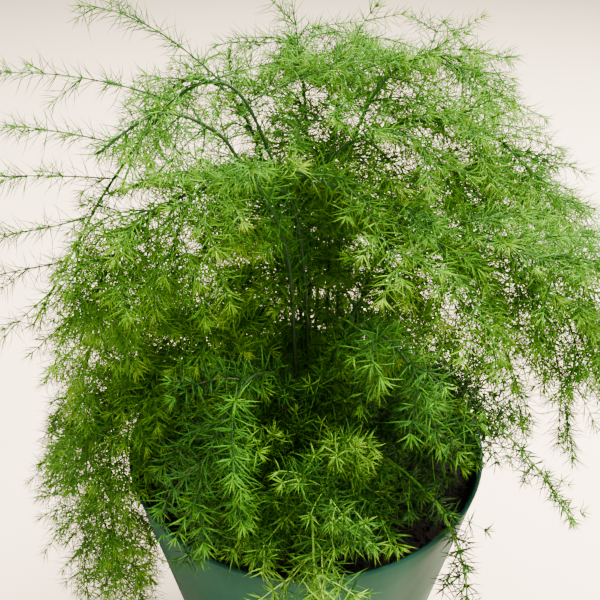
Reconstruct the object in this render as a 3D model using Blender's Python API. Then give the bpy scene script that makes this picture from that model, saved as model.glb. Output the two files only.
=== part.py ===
"""Potted asparagus fern.

A round tapered nursery pot holds potting soil and the plant's woody crown. Tall wiry canes rise
together from the crown and arch outwards, and short young shoots lean low over the soil and rim.
Metres, +Z up. The origin is the centre of the pot's flat base.
"""

import math

import bmesh
import bpy
import numpy as np
from mathutils import Vector

MM = 0.001

# Pot: one thin moulding, with drain holes in a ring round its solid centre
POT_HEIGHT = 107 * MM
RIM_DIAMETER = 120 * MM
BASE_DIAMETER = 84 * MM
WALL = 1.4 * MM
FLOOR = 2.0 * MM
BASE_CHAMFER = 2.0 * MM
DRAIN_HOLES = 8
DRAIN_HOLE_DIAMETER = 5.0 * MM
DRAIN_RING_DIAMETER = 56 * MM
POT_SEGMENTS = 48

# Soil: fills the pot to just under its rim and rises a little towards the crown
SOIL_BELOW_RIM = 9.0 * MM
SOIL_MOUND = 2.0 * MM
SOIL_SEGMENTS = 40

# Crown: a low woody knob, half buried, that every cane grows from
CROWN_DIAMETER = 30 * MM
CROWN_BURIED = 5.0 * MM
CROWN_PROUD = 4.0 * MM
CROWN_SEGMENTS = 16
CROWN_LUMPS = 0.06        # how far its three lobes are drawn in, as a share of its radius

# Canes and shoots: tapered stems with a side shoot at every node
CANE_DIAMETER = 1.6 * MM
SHOOT_DIAMETER = 1.2 * MM
TIP_SHARE = 0.45          # tip thickness as a share of the foot's
NODE_LENGTH = 1.4 * MM    # the short collar that a side shoot grows from
SIDE_DIAMETER = 0.7 * MM
STEM_SIDES = 5
SIDE_STEPS = 3
CANE_GREEN = (0.02, 0.09, 0.015)
SHOOT_GREEN = (0.10, 0.30, 0.02)

GAP = 0.3 * MM            # kept between neighbouring pieces
STEM_GAP = 0.5 * MM       # kept between stems that cross
STEM_OFF_POT = 2.0 * MM   # kept between a stem's middle and the pot or the soil
HANG_OFF_RIM = 1.4 * MM   # kept where a stem hangs down past the rim
HANG_FROM = 16 * MM       # a stem past the rim hangs if its tip ends lower than this above the datum

# How far the plant spreads and rises, against the tables below
SPREAD = 1.0
RISE = 1.0

# Each tall cane: foot on the crown (x, y), heading in degrees, then the places that it arches
# through as (reach, height) from its foot, in millimetres, ending at its tip.
CANES = {
    "cane_left_arch": ((-1, 2), 185, (
        (0, 40), (3, 85), (9, 109), (18, 128), (32, 127), (53, 103), (66, 83), (82, 58))),
    "cane_right_low_arch": ((-2, -2), 347, (
        (-2, 60), (-6, 95), (-5, 106), (3, 105), (34, 95), (66, 89), (90, 84))),
    "cane_right_arch": ((2, 4), 8, (
        (-2, 50), (-5, 85), (-3, 101), (5, 108), (14, 113), (28, 117), (50, 112), (68, 96))),
    "cane_right_high": ((9, 7), 36, (
        (1, 50), (2, 85), (5, 110), (16, 126), (34, 130), (52, 122), (66, 105))),
    "cane_left_mid": ((1, -1), 195, (
        (1, 60), (4, 92), (10, 103), (22, 105), (37, 102), (55, 88), (68, 62))),
    "cane_front_left": ((-3, -6), 222, (
        (1, 50), (3, 82), (9, 100), (17, 113), (25, 125), (40, 133), (56, 128))),
    "cane_back_right": ((7, 11), 72, ((0, 50), (1, 85), (3, 112), (13, 129), (30, 131), (48, 120))),
    "cane_back": ((1, 10), 100, ((0, 60), (4, 100), (14, 126), (32, 130), (52, 118))),
    "cane_back_left": ((-6, 8), 140, ((1, 60), (7, 98), (20, 119), (38, 121), (56, 108), (70, 86))),
    "cane_left_low": ((-9, 3), 172, (
        (4, 38), (13, 61), (24, 74), (41, 71), (55, 57), (66, 32), (76, 3), (92, -32))),
    "cane_left_hanging": ((-7, -4), 186, (
        (4, 32), (14, 52), (28, 57), (44, 46), (54, 24), (60, 0), (63, -34), (64, -62))),
    "cane_right_mid": ((6, -3), 350, ((3, 45), (14, 72), (34, 82), (56, 78), (74, 64), (84, 45))),
    "cane_right_back": ((12, 2), 24, ((3, 48), (14, 82), (36, 97), (60, 92), (80, 76), (90, 55))),
    "cane_front_right": ((4, -8), 308, ((2, 30), (8, 56), (22, 70), (38, 66), (50, 48))),
    "cane_front_low": ((-3, -11), 238, ((2, 28), (9, 48), (24, 58), (40, 50), (52, 34))),
    "cane_back_low": ((3, 14), 82, ((3, 40), (16, 70), (38, 76), (58, 56), (70, 22))),
}

# Each short young shoot, in the same way
SHOOTS = {
    "shoot_left_rim": ((-12, -3), 184, ((6, 16), (22, 24), (42, 14))),
    "shoot_left_over_rim": ((-12, 4), 180, ((6, 28), (26, 40), (46, 34), (58, 18))),
    "shoot_front_left_rim": ((-9, -12), 241, ((6, 20), (22, 28), (42, 20))),
    "shoot_front_left_near": ((-5, -15), 250, ((5, 16), (20, 24), (38, 16))),
    "shoot_right_soil": ((12, -5), 340, ((6, 16), (22, 20), (40, 12))),
    "shoot_right_low": ((9, -9), 322, ((5, 12), (18, 18), (34, 10))),
    "shoot_front_right_low": ((5, -14), 300, ((5, 14), (20, 20), (42, 12))),
    "shoot_right_rim": ((14, 0), 357, ((6, 22), (22, 27), (42, 16))),
    "shoot_front_over_rim": ((0, -16), 272, ((5, 22), (22, 30), (42, 25), (56, 12))),
    "shoot_front_soil": ((-2, -20), 262, ((3, 20), (13, 29), (30, 24))),
    "shoot_front_right_rim": ((3, -18), 284, ((4, 12), (16, 20), (36, 16))),
    "shoot_left_upright": ((-14, 8), 168, ((4, 24), (16, 44), (36, 44))),
    "shoot_right_over_rim": ((15, 5), 4, ((8, 24), (28, 28), (46, 18), (56, 4))),
    "shoot_right_trailing": ((13, -2), 352, ((6, 20), (26, 27), (48, 21), (66, 2), (82, -22))),
    "shoot_front_right_trailing": ((8, -12), 312, ((5, 18), (22, 26), (44, 22), (56, 4), (61, -26))),
    "shoot_front_upright": ((-6, -8), 212, ((4, 26), (14, 42), (30, 42))),
    "shoot_back_rim": ((6, 17), 70, ((6, 22), (24, 30), (42, 16))),
    "shoot_front_left_soil": ((-10, -9), 226, ((6, 14), (20, 20), (36, 15))),
    "shoot_front_middle": ((3, -13), 277, ((3, 18), (13, 26), (28, 22))),
    "shoot_back_left": ((-9, 12), 132, ((6, 26), (22, 36), (40, 28))),
    "shoot_back_right": ((11, 12), 44, ((6, 24), (22, 34), (40, 26))),
}

# Heights in the tables are counted from this far below the rim, and reaches for this rim
STEM_DATUM = 9.0 * MM
STEM_RIM_RADIUS = 60 * MM
STEM_FULL_REACH = 50 * MM   # a stem this far out moves as far as the rim does

# Side shoots placed by hand: share of the way along the cane, heading and rise in degrees,
# length in millimetres, and the share of its length that the tip droops by.
HAND_PLACED = {
    "cane_left_arch": (
        (0.535, 24, 22, 94, 0.46),
        (0.570, 150, 35, 56, 0.32),
        (0.595, 48, 2, 78, 0.13),
        (0.635, 178, 20, 48, 0.20),
        (0.670, 265, 6, 28, 0.25),
        (0.710, 178, 16, 40, 0.12),
        (0.755, 178, 4, 40, 0.08),
        (0.785, 40, 0, 26, 0.20),
        (0.815, 178, -20, 34, -0.14),
        (0.850, 276, -16, 24, 0.20),
        (0.890, 178, -13, 28, 0.00),
        (0.940, 210, -30, 20, 0.10),
    ),
    "cane_right_low_arch": (
        (0.570, 80, 20, 32, 0.30),
        (0.615, 290, 0, 30, 0.35),
        (0.660, 30, 24, 38, 0.30),
        (0.700, 310, -20, 36, 0.40),
        (0.735, 20, 10, 36, 0.25),
        (0.770, 350, -62, 56, 0.30),
        (0.815, 15, 4, 36, 0.30),
        (0.860, 345, -66, 60, 0.25),
        (0.895, 20, 2, 30, 0.25),
        (0.930, 350, -60, 60, 0.25),
        (0.970, 335, -40, 40, 0.40),
    ),
}

# Side shoots elsewhere: spaced evenly, wound round the stem by the golden angle
GOLDEN_ANGLE = 137.5
SIDE_LEAN = 52            # degrees between a side shoot and its stem
CANE_NODES = 8
CANE_BARE = 0.46          # share of a cane that is bare at its foot
CANE_SIDE_LENGTH = 34 * MM
SHOOT_NODES = 4
SHOOT_BARE = 0.30
SHOOT_SIDE_LENGTH = 13 * MM
SIDE_DROOP = 0.22
SIDE_FULLNESS = (0.55, 0.45)  # shortest side shoot as a share of the longest, and the rest
LAST_NODE = 0.95          # share of a stem at its last side shoot
LONG_STEP = 10 * MM       # a long stem or side shoot takes a ring at least this often
WINDING_STEP = 40         # degrees that one letter more in a stem's name winds its nodes by

# How a path is drawn and tested
CURVE_STEPS = 8
TEST_SPACING = 1.5 * MM
SIDE_SKIP = 3             # points of a side shoot that may lie in the stem that it grows from
TURNS = sorted(range(-90, 91, 3), key=abs)
SHORTER = (1, 0.75, 0.5, 0.25)  # shares of its length and rise that a side shoot with no room is tried at


def pot_outer(height):
    """Outer radius of the pot's tapered wall at a height."""
    return (BASE_DIAMETER + (RIM_DIAMETER - BASE_DIAMETER) * height / POT_HEIGHT) / 2


def pot_inner(height):
    return pot_outer(height) - WALL


def soil_edge():
    return POT_HEIGHT - SOIL_BELOW_RIM


def soil_top(radius):
    """Height of the soil at a distance from the pot's axis."""
    return soil_edge() + SOIL_MOUND * (1 - (radius / pot_inner(soil_edge())) ** 2)


def foot_height(x, y):
    """Where a stem starts, just clear of the crown or of the soil beyond it."""
    radius = math.hypot(x, y)
    height = soil_top(radius)
    share = radius / (CROWN_DIAMETER / 2)
    if share < 1:
        height = max(height, soil_top(0) + CROWN_PROUD * math.sqrt(1 - share ** 2))
    return height + 2 * GAP


def arc(centre, radii, start, stop, steps):
    """Points along a quarter or half ellipse in the profile plane."""
    angles = [math.radians(start + (stop - start) * step / steps) for step in range(steps + 1)]
    return [(centre[0] + radii[0] * math.cos(a), centre[1] + radii[1] * math.sin(a)) for a in angles]


def turned(name, profile, segments):
    """A closed solid turned about Z from a profile of (radius, height) that starts and ends on it."""
    bm = bmesh.new()
    verts = [bm.verts.new((radius, 0, height)) for radius, height in profile]
    edges = [bm.edges.new(pair) for pair in zip(verts, verts[1:])]
    bmesh.ops.spin(bm, geom=verts + edges, cent=(0, 0, 0), axis=(0, 0, 1),
                   angle=2 * math.pi, steps=segments, use_merge=True)
    bmesh.ops.remove_doubles(bm, verts=bm.verts, dist=0.01 * MM)
    bmesh.ops.recalc_face_normals(bm, faces=bm.faces)
    return finish(name, bm)


def finish(name, bm):
    """Turn a bmesh into a named object in the scene, shaded smooth between its sharp edges."""
    mesh = bpy.data.meshes.new(name)
    bm.to_mesh(mesh)
    bm.free()
    mesh.shade_smooth()
    mesh.set_sharp_from_angle(angle=math.radians(35))
    obj = bpy.data.objects.new(name, mesh)
    bpy.context.scene.collection.objects.link(obj)
    return obj


def paint(obj, name, colour, roughness):
    """Give an object its own material."""
    material = bpy.data.materials.new(name)
    material.use_nodes = True
    shader = material.node_tree.nodes["Principled BSDF"]
    shader.inputs["Base Color"].default_value = (*colour, 1)
    shader.inputs["Roughness"].default_value = roughness
    material.diffuse_color = (*colour, 1)
    obj.data.materials.append(material)


def build_pot():
    lip = WALL / 2
    profile = [(0, 0), (BASE_DIAMETER / 2 - BASE_CHAMFER, 0), (pot_outer(BASE_CHAMFER), BASE_CHAMFER)]
    profile += arc((pot_outer(POT_HEIGHT) - lip, POT_HEIGHT - lip), (lip, lip), 0, 180, 4)
    profile += [(pot_inner(FLOOR + BASE_CHAMFER), FLOOR + BASE_CHAMFER)]
    profile += [(pot_inner(FLOOR) - BASE_CHAMFER, FLOOR), (0, FLOOR)]
    pot = turned("nursery_pot", profile, POT_SEGMENTS)
    drill = bmesh.new()
    for hole in range(DRAIN_HOLES):
        angle = 2 * math.pi * hole / DRAIN_HOLES
        made = bmesh.ops.create_cone(drill, cap_ends=True, segments=12, depth=4 * FLOOR,
                                     radius1=DRAIN_HOLE_DIAMETER / 2, radius2=DRAIN_HOLE_DIAMETER / 2)
        ring = Vector((math.cos(angle), math.sin(angle), 0)) * DRAIN_RING_DIAMETER / 2
        bmesh.ops.translate(drill, verts=made["verts"], vec=ring + Vector((0, 0, FLOOR / 2)))
    cutter = finish("drain_hole_cutter", drill)
    cutter.hide_render = True
    cutter.display_type = "WIRE"
    cut = pot.modifiers.new("Drain holes", "BOOLEAN")
    cut.operation = "DIFFERENCE"
    cut.solver = "EXACT"
    cut.object = cutter
    paint(pot, "teal_green_plastic", (0.030, 0.105, 0.065), 0.42)


def build_soil():
    bottom = FLOOR + GAP
    rim = pot_inner(soil_edge()) - GAP
    crown = CROWN_DIAMETER / 2 + GAP
    profile = [(0, bottom), (pot_inner(bottom) - BASE_CHAMFER - GAP, bottom)]
    profile += [(pot_inner(FLOOR + BASE_CHAMFER) - GAP, FLOOR + BASE_CHAMFER + GAP), (rim, soil_edge())]
    rings = 4
    for ring in range(1, rings + 1):
        radius = rim + (crown - rim) * ring / rings
        profile.append((radius, soil_top(radius)))
    profile += arc((0, soil_top(crown)), (crown, CROWN_BURIED + GAP), 0, -90, 4)[1:]
    soil = turned("potting_soil", profile, SOIL_SEGMENTS)
    paint(soil, "moist_peat", (0.012, 0.009, 0.007), 0.95)


def build_crown():
    middle = soil_top(CROWN_DIAMETER / 2)
    radius = CROWN_DIAMETER / 2
    top = soil_top(0) + CROWN_PROUD - middle
    profile = arc((0, middle), (radius, CROWN_BURIED), -90, 0, 3)
    profile += arc((0, middle), (radius, top), 0, 90, 4)[1:]
    profile[0], profile[-1] = (0, profile[0][1]), (0, profile[-1][1])
    crown = turned("woody_crown", profile, CROWN_SEGMENTS)
    for vert in crown.data.vertices:
        angle = math.atan2(vert.co.y, vert.co.x)
        lumps = 1 - CROWN_LUMPS * (1 - math.cos(3 * angle + 0.7))
        vert.co.x *= lumps
        vert.co.y *= lumps
    paint(crown, "fibrous_crown", (0.14, 0.12, 0.05), 0.9)


class Path:
    """A smooth curve through its stops that can be read at any share of its length."""

    def __init__(self, stops):
        ends = [2 * stops[0] - stops[1], *stops, 2 * stops[-1] - stops[-2]]
        points = [stops[0]]
        for a, b, c, d in zip(ends, ends[1:], ends[2:], ends[3:]):
            for step in range(1, CURVE_STEPS + 1):
                t = step / CURVE_STEPS
                points.append(0.5 * (2 * b + (c - a) * t + (2 * a - 5 * b + 4 * c - d) * t ** 2
                                     + (3 * b - a - 3 * c + d) * t ** 3))
        self.points = np.array(points)
        steps = np.linalg.norm(np.diff(self.points, axis=0), axis=1)
        self.lengths = np.concatenate(([0], np.cumsum(steps)))
        self.length = self.lengths[-1]

    def at(self, share):
        place = share * self.length
        return Vector([float(np.interp(place, self.lengths, self.points[:, k])) for k in range(3)])

    def direction(self, share):
        return (self.at(min(share + 0.01, 1)) - self.at(max(share - 0.01, 0))).normalized()

    def samples(self):
        count = max(3, round(self.length / TEST_SPACING))
        return np.array([self.at(step / count) for step in range(count + 1)])


def stem_path(foot, heading, arch):
    """The curve of one cane or shoot, from its row of the tables."""
    x, y = (value * MM for value in foot)
    ahead = np.array((math.cos(math.radians(heading)), math.sin(math.radians(heading))))
    wider = RIM_DIAMETER / 2 - STEM_RIM_RADIUS
    to_rim = STEM_RIM_RADIUS + HANG_OFF_RIM - ahead.dot((x, y))
    hangs = arch[-1][0] * MM > to_rim and arch[-1][1] * MM < HANG_FROM
    stops = [np.array((x, y, foot_height(x, y)))]
    for reach, height in arch:
        reach *= MM
        # A stem that hangs past the rim always reaches it, and spreads more or less beyond it
        kept = min(reach, to_rim) if hangs else 0
        out = kept + (reach - kept) * SPREAD + wider * min(1, max(0, reach / STEM_FULL_REACH))
        level = POT_HEIGHT - STEM_DATUM + height * MM * (RISE if height > 0 else 1)
        stops.append(np.array((*(out * ahead + (x, y)), level)))
    return Path(stops)


def side_path(start, heading, rise, length, droop):
    """The curve of one side shoot, straight at first and drooping towards its tip."""
    across = math.cos(math.radians(rise))
    lean = np.array((across * math.cos(math.radians(heading)), across * math.sin(math.radians(heading)),
                     math.sin(math.radians(rise))))
    steps = max(SIDE_STEPS, round(length / LONG_STEP))
    stops = []
    for step in range(steps + 1):
        t = step / steps
        stops.append(np.array(start) + length * (t * lean - np.array((0, 0, droop * t * t))))
    return Path(stops)


def near_pot(points):
    """Each point's distance from the pot's axis, its height, and whether it is inside or close to the pot."""
    radius = np.hypot(points[:, 0], points[:, 1])
    height = points[:, 2]
    return radius, height, radius < pot_outer(np.minimum(height, POT_HEIGHT)) + STEM_OFF_POT


def meets_wall(points):
    radius, height, near = near_pot(points)
    inner = pot_inner(POT_HEIGHT) - STEM_OFF_POT
    return (near & (radius > inner) & (height < POT_HEIGHT + STEM_OFF_POT)).any()


def meets_soil(points):
    _, height, near = near_pot(points)
    return (near & (height < soil_top(0) + STEM_OFF_POT) & (height > 0)).any()


class Thicket:
    """The stems grown so far, so that the next one can be kept clear of them and of the pot."""

    def __init__(self):
        self.starts = np.empty((0, 3))
        self.ends = np.empty((0, 3))
        self.owners = []

    def add(self, path, owner):
        points = path.samples()
        self.starts = np.vstack((self.starts, points[:-1]))
        self.ends = np.vstack((self.ends, points[1:]))
        self.owners += [owner] * (len(points) - 1)

    def room(self, path, owner, is_side):
        """Least distance from a path to any other stem. Zero where it meets the pot or the soil."""
        points = path.samples()
        first = min(SIDE_SKIP, len(points) - 2) if is_side else 0
        if meets_wall(points) or (is_side and meets_soil(points[first:])):
            return 0
        if not self.owners:
            return math.inf
        along = self.ends - self.starts
        to_point = points[:, None, :] - self.starts[None, :, :]
        share = (to_point * along).sum(axis=2) / (along ** 2).sum(axis=1)
        nearest = self.starts + np.clip(share, 0, 1)[:, :, None] * along
        gaps = np.linalg.norm(points[:, None, :] - nearest, axis=2)
        own = np.array([other == owner for other in self.owners])
        gaps[:first, own] = math.inf
        return gaps.min()


def first_clear(thicket, owner, is_side, make):
    """Turn a stem a little, to one side and the other, until it clears what has grown."""
    needed = (CANE_DIAMETER + SIDE_DIAMETER) / 2 + STEM_GAP
    best, most = None, -1
    for shorter in SHORTER if is_side else SHORTER[:1]:
        for turn in TURNS:
            path = make(turn, shorter)
            room = thicket.room(path, owner, is_side)
            if room > most:
                best, most = path, room
            if room > needed:
                break
        if most > needed:
            break
    thicket.add(best, owner)
    return best


def side_shoots(name, path, nodes, bare, length):
    """Share, heading, rise, length and droop of each side shoot of a stem."""
    if name in HAND_PLACED:
        return [(share, heading, rise, reach * MM, droop)
                for share, heading, rise, reach, droop in HAND_PLACED[name]]
    rows = []
    for node in range(nodes):
        share = bare + (LAST_NODE - bare) * node / (nodes - 1)
        along = path.direction(share)
        across = along.orthogonal().normalized()
        winding = math.radians(GOLDEN_ANGLE * node + WINDING_STEP * len(name))
        out = math.cos(winding) * across + math.sin(winding) * along.cross(across)
        lean = math.radians(SIDE_LEAN)
        side = math.cos(lean) * along + math.sin(lean) * out
        heading = math.degrees(math.atan2(side.y, side.x))
        rise = math.degrees(math.asin(max(-1, min(1, side.z))))
        swell = math.sin(math.pi * (0.25 + 0.75 * node / (nodes - 1)))
        fullness = SIDE_FULLNESS[0] + SIDE_FULLNESS[1] * swell
        rows.append((share, heading, rise, length * fullness, SIDE_DROOP))
    return rows


def extrude_along(bm, face, points, radii, keep_first=False):
    """Extrude a face from point to point, turned with the path and scaled to each radius."""
    face.normal_update()
    centre = face.calc_center_median()
    heading = face.normal.copy()
    size = sum((vert.co - centre).length for vert in face.verts) / len(face.verts)
    bands = []
    for index, (point, radius) in enumerate(zip(points, radii)):
        last = points[index - 1] if index else centre
        ahead = points[index + 1] if index + 1 < len(points) else point
        direction = (ahead - last).normalized()
        turn = heading.rotation_difference(direction)
        made = bmesh.ops.extrude_face_region(bm, geom=[face])["geom"]
        if index or not keep_first:
            bmesh.ops.delete(bm, geom=[face], context="FACES_ONLY")
        face = next(item for item in made if isinstance(item, bmesh.types.BMFace))
        for vert in face.verts:
            vert.co = point + turn @ (vert.co - centre) * (radius / size)
        bands.append([f for vert in face.verts for f in vert.link_faces if f is not face])
        centre, heading, size = point, direction, radius
    return bands


def build_stem(name, path, diameter, sides, colour):
    """One cane or shoot with its side shoots, as one solid drawn out of the faces of its nodes."""
    half = NODE_LENGTH / 2 / path.length
    shares = {0.0, 1.0}
    for share, _ in sides:
        shares |= {share - half, share + half}
    gap = LONG_STEP / path.length
    for share in np.arange(gap, 1, gap):
        if min(abs(share - other) for other in shares) > gap / 2:
            shares.add(float(share))
    shares = sorted(shares)
    radii = [diameter / 2 * (1 - (1 - TIP_SHARE) * share) for share in shares]
    bm = bmesh.new()
    foot = bmesh.ops.create_circle(bm, cap_ends=True, segments=STEM_SIDES, radius=radii[0])
    face = foot["verts"][0].link_faces[0]
    bmesh.ops.translate(bm, verts=foot["verts"], vec=path.at(0))
    bands = extrude_along(bm, face, [path.at(share) for share in shares[1:]], radii[1:], keep_first=True)
    for share, side in sides:
        band = bands[shares.index(share + half) - 1]
        out = side.direction(0)
        for quad in band:
            quad.normal_update()
        face = max(band, key=lambda quad: quad.normal.dot(out))
        steps = max(SIDE_STEPS, round(side.length / LONG_STEP))
        ends = [step / steps for step in range(1, steps + 1)]
        side_radii = [SIDE_DIAMETER / 2 * (1 - (1 - TIP_SHARE) * end) for end in ends]
        extrude_along(bm, face, [side.at(end) for end in ends], side_radii)
    bmesh.ops.recalc_face_normals(bm, faces=bm.faces)
    paint(finish(name, bm), name + "_green", colour, 0.5)


def grow_plant():
    """Every main stem takes its place first, then their side shoots fill what room is left."""
    thicket = Thicket()
    kinds = (
        (CANES, CANE_DIAMETER, CANE_NODES, CANE_BARE, CANE_SIDE_LENGTH, CANE_GREEN),
        (SHOOTS, SHOOT_DIAMETER, SHOOT_NODES, SHOOT_BARE, SHOOT_SIDE_LENGTH, SHOOT_GREEN),
    )
    stems = []
    for table, *kind in kinds:
        for name, (foot, heading, arch) in table.items():
            path = first_clear(thicket, name, False, lambda turn, _: stem_path(foot, heading + turn, arch))
            stems.append((name, path, *kind))
    for name, path, diameter, nodes, bare, length, colour in stems:
        sides = []
        for share, heading, rise, reach, droop in side_shoots(name, path, nodes, bare, length):
            start = path.at(share)
            side = first_clear(thicket, name, True, lambda turn, shorter: side_path(
                start, heading + turn, rise * shorter, reach * shorter, droop))
            sides.append((share, side))
        build_stem(name, path, diameter, sides, colour)


for leftover in list(bpy.data.objects):
    bpy.data.objects.remove(leftover)
build_pot()
build_soil()
build_crown()
grow_plant()
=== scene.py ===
"""Potted asparagus fern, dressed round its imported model. Metres, +Z up, base of the pot at z = 0."""

import math

import bpy
import numpy as np
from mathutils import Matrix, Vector


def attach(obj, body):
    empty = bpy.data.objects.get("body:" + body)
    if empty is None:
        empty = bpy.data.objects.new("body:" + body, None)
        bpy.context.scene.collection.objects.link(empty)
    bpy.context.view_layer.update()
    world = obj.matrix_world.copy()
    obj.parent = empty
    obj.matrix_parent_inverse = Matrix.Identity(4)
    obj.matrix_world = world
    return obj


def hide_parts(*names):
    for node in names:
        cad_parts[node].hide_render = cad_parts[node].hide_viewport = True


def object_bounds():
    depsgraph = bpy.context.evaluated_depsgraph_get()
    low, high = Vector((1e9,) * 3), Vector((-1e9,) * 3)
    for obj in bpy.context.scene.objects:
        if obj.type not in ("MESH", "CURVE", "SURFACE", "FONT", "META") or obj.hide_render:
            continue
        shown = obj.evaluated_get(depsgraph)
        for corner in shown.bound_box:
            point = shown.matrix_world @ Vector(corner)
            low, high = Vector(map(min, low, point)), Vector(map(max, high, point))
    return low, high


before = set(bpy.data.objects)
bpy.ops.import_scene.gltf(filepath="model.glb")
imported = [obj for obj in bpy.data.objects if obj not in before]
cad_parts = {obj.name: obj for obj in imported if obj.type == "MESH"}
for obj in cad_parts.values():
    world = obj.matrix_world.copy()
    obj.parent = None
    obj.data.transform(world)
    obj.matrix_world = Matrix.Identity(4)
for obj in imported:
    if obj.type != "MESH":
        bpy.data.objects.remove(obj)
cad_low, cad_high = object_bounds()
MM = 0.001

# ---------------------------------------------------------------------------- nursery pot
# A thin-walled round pot, injection moulded in one shot from teal-green polypropylene. It has a
# plain rounded rim, and eight drain holes round the solid centre of its flat base.
POT_HEIGHT = 107 * MM
RIM_RADIUS = 60 * MM
BASE_RADIUS = 42 * MM
WALL = 1.4 * MM
FLOOR = 2.0 * MM
CHAMFER = 2.0 * MM
DRAIN_RING = 28 * MM
DRAIN_HOLES = 8
DRAIN_HOLE_RADIUS = 2.5 * MM
LIP = WALL / 2


def srgb(code):
    """Linear RGBA from an sRGB hex code."""
    parts = [int(code[k:k + 2], 16) / 255 for k in (1, 3, 5)]
    return (*[c / 12.92 if c <= 0.04045 else ((c + 0.055) / 1.055) ** 2.4 for c in parts], 1)


def add_node(tree, kind, inputs=(), **settings):
    """Adds a shader node. inputs maps a socket to a value or to another node's output."""
    made = tree.nodes.new(kind)
    for key, value in settings.items():
        if key == "stops":
            ramp = made.color_ramp
            while len(ramp.elements) < len(value):
                ramp.elements.new(0.5)
            for stop, (place, colour) in zip(ramp.elements, value):
                stop.position = place
                stop.color = srgb(colour) if isinstance(colour, str) else (colour,) * 3 + (1,)
        else:
            setattr(made, key, value)
    for key, value in dict(inputs).items():
        if isinstance(value, bpy.types.NodeSocket):
            tree.links.new(value, made.inputs[key])
        else:
            made.inputs[key].default_value = value
    return made


def new_material(name, **settings):
    """A material with one Principled shader, and its node tree."""
    material = bpy.data.materials.new(name)
    material.use_nodes = True
    shader = material.node_tree.nodes["Principled BSDF"]
    for key, value in settings.items():
        shader.inputs[key.replace("_", " ")].default_value = value
    return material, material.node_tree, shader


def begin():
    """Back to object mode with nothing selected."""
    if bpy.context.object and bpy.context.object.mode != "OBJECT":
        bpy.ops.object.mode_set(mode="OBJECT")
    bpy.ops.object.select_all(action="DESELECT")


def pull_rings(rings):
    """Extrudes the selected face through rings of (radius, height), as on a lathe."""
    bpy.ops.object.mode_set(mode="OBJECT")
    mesh = bpy.context.object.data
    face = next(f for f in mesh.polygons if f.select)
    radius, height = mesh.vertices[face.vertices[0]].co.xy.length, face.center.z
    bpy.ops.object.mode_set(mode="EDIT")
    for new_radius, new_height in rings:
        bpy.ops.mesh.extrude_region_move(TRANSFORM_OT_translate={"value": (0, 0, new_height - height)})
        wider = new_radius / radius
        bpy.ops.transform.resize(value=(wider, wider, 1), center_override=(0, 0, new_height))
        radius, height = new_radius, new_height


def dress(piece, material, slot, *nodes):
    """The finish of a piece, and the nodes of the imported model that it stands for."""
    piece.data.materials.clear()
    piece.data.materials.append(material)
    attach(piece, "root")
    if nodes:
        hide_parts(*nodes)


def outer_radius(height):
    return BASE_RADIUS + (RIM_RADIUS - BASE_RADIUS) * height / POT_HEIGHT


def inner_radius(height):
    return outer_radius(height) - WALL


begin()
bpy.ops.mesh.primitive_circle_add(vertices=128, radius=BASE_RADIUS - CHAMFER, fill_type="NGON")
pot = bpy.context.object
pot.name = pot.data.name = "pot"
bpy.ops.object.mode_set(mode="EDIT")
rings = [(BASE_RADIUS - CHAMFER * 0.3, CHAMFER * 0.3), (outer_radius(CHAMFER), CHAMFER)]
rings += [(outer_radius(h * MM), h * MM) for h in (20, 50, 80, 100)]
for step in range(9):
    turn = math.pi * step / 8
    rings.append((RIM_RADIUS - LIP + LIP * math.cos(turn), POT_HEIGHT - LIP + LIP * math.sin(turn)))
rings += [(inner_radius(h * MM), h * MM) for h in (100, 60, 20)]
rings += [(inner_radius(FLOOR + CHAMFER), FLOOR + CHAMFER), (inner_radius(FLOOR) - CHAMFER, FLOOR)]
pull_rings(rings)
bpy.ops.object.mode_set(mode="OBJECT")
bpy.ops.object.transform_apply()

bpy.ops.object.mode_set(mode="EDIT")
bpy.ops.mesh.select_all(action="SELECT")
bpy.ops.mesh.normals_make_consistent(inside=False)
bpy.ops.object.mode_set(mode="OBJECT")
for hole in range(DRAIN_HOLES):
    turn = 2 * math.pi * hole / DRAIN_HOLES
    place = (DRAIN_RING * math.cos(turn), DRAIN_RING * math.sin(turn), FLOOR / 2)
    begin()
    bpy.ops.mesh.primitive_cylinder_add(vertices=24, radius=DRAIN_HOLE_RADIUS, depth=4 * FLOOR, location=place)
    drill = bpy.context.object
    begin()
    pot.select_set(True)
    bpy.context.view_layer.objects.active = pot
    cut = pot.modifiers.new("drain hole", "BOOLEAN")
    cut.object, cut.operation, cut.solver = drill, "DIFFERENCE", "EXACT"
    bpy.ops.object.modifier_apply(modifier=cut.name)
    bpy.data.objects.remove(drill)
bpy.ops.object.shade_smooth_by_angle(angle=math.radians(35))

# Moulded polypropylene: a satin skin with a film of dust, and faint upright streaks of painted reflection in its
# colour.
plastic, tree, shader = new_material("moulded_polypropylene", IOR=1.49, Specular_IOR_Level=0.03)
place = add_node(tree, "ShaderNodeTexCoord").outputs["Object"]
upright = add_node(tree, "ShaderNodeMapping", {"Vector": place, "Scale": (1, 1, 0.05)})
# Painted reflection: noise stretched up the wall into faint lighter and darker upright bands of the body colour
painted_reflection_streaks = add_node(tree, "ShaderNodeTexNoise", {"Vector": upright.outputs[0], "Scale": 120, "Detail": 4})
mottle = add_node(tree, "ShaderNodeTexNoise", {"Vector": place, "Scale": 40, "Detail": 5})
grain = add_node(tree, "ShaderNodeTexNoise", {"Vector": place, "Scale": 900, "Detail": 2})
body = add_node(tree, "ShaderNodeValToRGB", {"Fac": painted_reflection_streaks.outputs["Fac"]},
                stops=((0.3, "#12382C"), (0.7, "#174034")))
dust = add_node(tree, "ShaderNodeValToRGB", {"Fac": mottle.outputs["Fac"]}, stops=((0.52, 0.0), (0.8, 0.3)))
tone = add_node(tree, "ShaderNodeMix", {"Factor": dust.outputs[0], 6: body.outputs[0], 7: srgb("#3A5649")},
                data_type="RGBA")
tree.links.new(tone.outputs[2], shader.inputs["Base Color"])
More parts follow.
